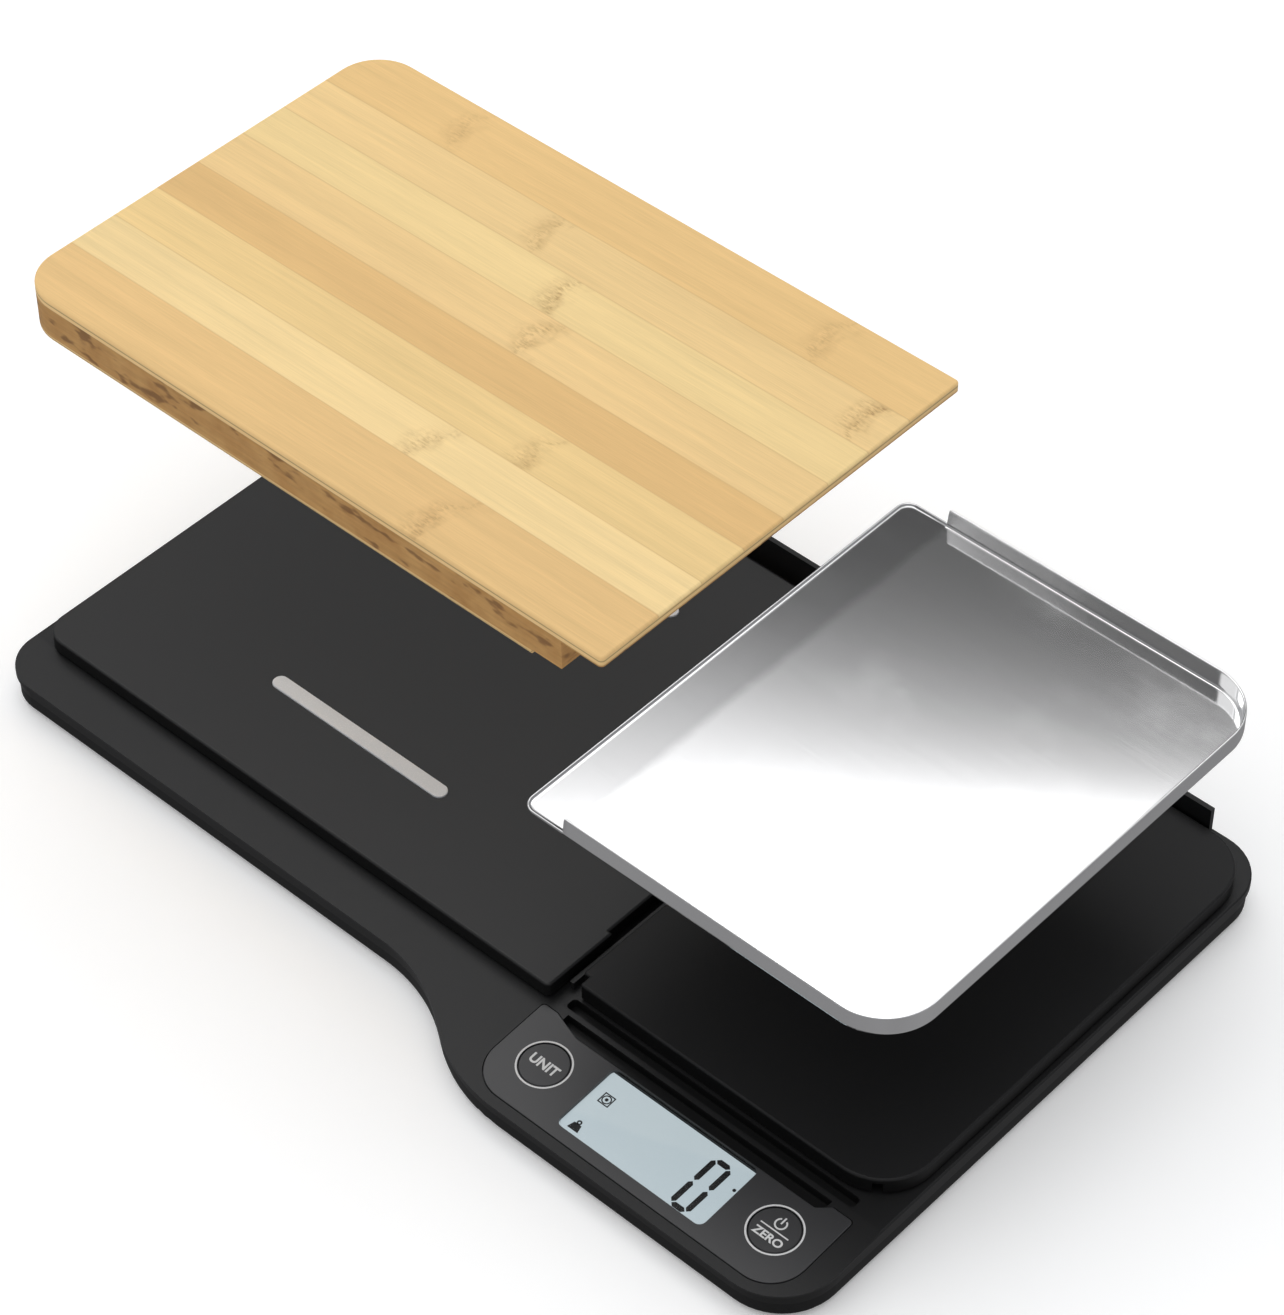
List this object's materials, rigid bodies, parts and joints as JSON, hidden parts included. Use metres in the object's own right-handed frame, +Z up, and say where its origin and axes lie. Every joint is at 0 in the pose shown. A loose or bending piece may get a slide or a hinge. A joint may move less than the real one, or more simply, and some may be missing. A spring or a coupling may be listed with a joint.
{
  "type": "kitchen scale",
  "caption": "Slim kitchen scale with a wide and a narrow weighing platform, tilted display with touch keys, a lift-off wooden board and a lift-off steel tray.",
  "frame": {"origin": "middle of the base's footprint, on the surface that it stands on", "axes": "+X along the long side to the right as seen from the display, +Y towards the back fence, +Z up"},
  "size_m": [0.368, 0.235, 0.1646],
  "materials": {
    "charcoal_plastic": "fine moulded texture",
    "base_plastic": "fine moulded texture",
    "panel_plastic": "satin charcoal",
    "key_plastic": "satin",
    "window_plastic": "clear acrylic",
    "lcd_glass": "pale blue display glass",
    "backlight_plastic": "white light guide",
    "foot_rubber": "matt",
    "grip_rubber": "speckled grey",
    "bamboo": "oiled strips",
    "tray_steel": "bright satin",
    "bracket_steel": "zinc plated",
    "bar_aluminium": "milled",
    "screw_steel": "zinc plated",
    "spacer_plastic": "moulded",
    "gauge_film": "amber film",
    "circuit_board": "green solder mask",
    "switch_plastic": "black",
    "connector_rubber": "striped elastomer",
    "coin_cell_steel": "bright",
    "contact_metal": "sprung bronze"
  },
  "bodies": {
    "base": {"lower_housing": "base_plastic", "upper_housing": "charcoal_plastic", "foot_front_left": "foot_rubber", "foot_front_right": "foot_rubber", "foot_back_right": "foot_rubber", "foot_back_left": "foot_rubber", "housing_screws": "screw_steel", "load_cell_left": "bar_aluminium", "load_cell_right": "bar_aluminium", "strain_gauges_left": "gauge_film", "strain_gauges_right": "gauge_film", "cell_spacer_left": "spacer_plastic", "cell_spacer_right": "spacer_plastic", "load_cell_bolts": "screw_steel", "display_panel": "panel_plastic", "display_window": "window_plastic", "lcd_glass": "lcd_glass", "lcd_backlight": "backlight_plastic", "main_board": "circuit_board", "main_board_screws": "screw_steel", "unit_switch": "switch_plastic", "zero_switch": "switch_plastic", "lcd_connector": "connector_rubber", "processor_blob": "switch_plastic", "coin_cell_1": "coin_cell_steel", "coin_cell_2": "coin_cell_steel", "battery_contacts": "contact_metal"},
    "left_weighing_platform": {"platform_left": "charcoal_plastic", "platform_bracket_left": "bracket_steel", "platform_spacer_left": "spacer_plastic", "platform_screws_left": "screw_steel", "grip_strip_front": "grip_rubber", "grip_strip_back": "grip_rubber"},
    "right_weighing_platform": {"platform_right": "charcoal_plastic", "platform_bracket_right": "bracket_steel", "platform_spacer_right": "spacer_plastic", "platform_screws_right": "screw_steel"},
    "tray": {"serving_tray": "tray_steel"},
    "board": {"cutting_board": "bamboo"},
    "unit_key": {"unit_button": "key_plastic"},
    "zero_key": {"zero_button": "key_plastic"},
    "battery_hatch": {"battery_door": "base_plastic"}
  },
  "joints": [
    {"name": "left_platform_press", "type": "slide", "parent": "base", "child": "left_weighing_platform", "axis": [0, 0, 1], "range_m": [-0.0004, 0], "stiffness_N_per_m": 100000},
    {"name": "right_platform_press", "type": "slide", "parent": "base", "child": "right_weighing_platform", "axis": [0, 0, 1], "range_m": [-0.0004, 0], "stiffness_N_per_m": 100000},
    {"name": "unit_key_press", "type": "slide", "parent": "base", "child": "unit_key", "axis": [0, -0.061, 0.9981], "range_m": [-0.0004, 0], "stiffness_N_per_m": 4000},
    {"name": "zero_key_press", "type": "slide", "parent": "base", "child": "zero_key", "axis": [0, -0.061, 0.9981], "range_m": [-0.0004, 0], "stiffness_N_per_m": 4000},
    {"name": "tray_lift", "type": "slide", "parent": "base", "child": "tray", "axis": [0, 0, 1], "range_m": [-0.068, 0]},
    {"name": "board_lift", "type": "slide", "parent": "tray", "child": "board", "axis": [0, 0, 1], "range_m": [-0.0585, 0]},
    {"name": "battery_door_hinge", "type": "hinge", "parent": "base", "child": "battery_hatch", "pos_m": [-0.06375, -0.02615, 0.0028], "axis": [1, 0, 0], "range_deg": [0, 90]}
  ]
}
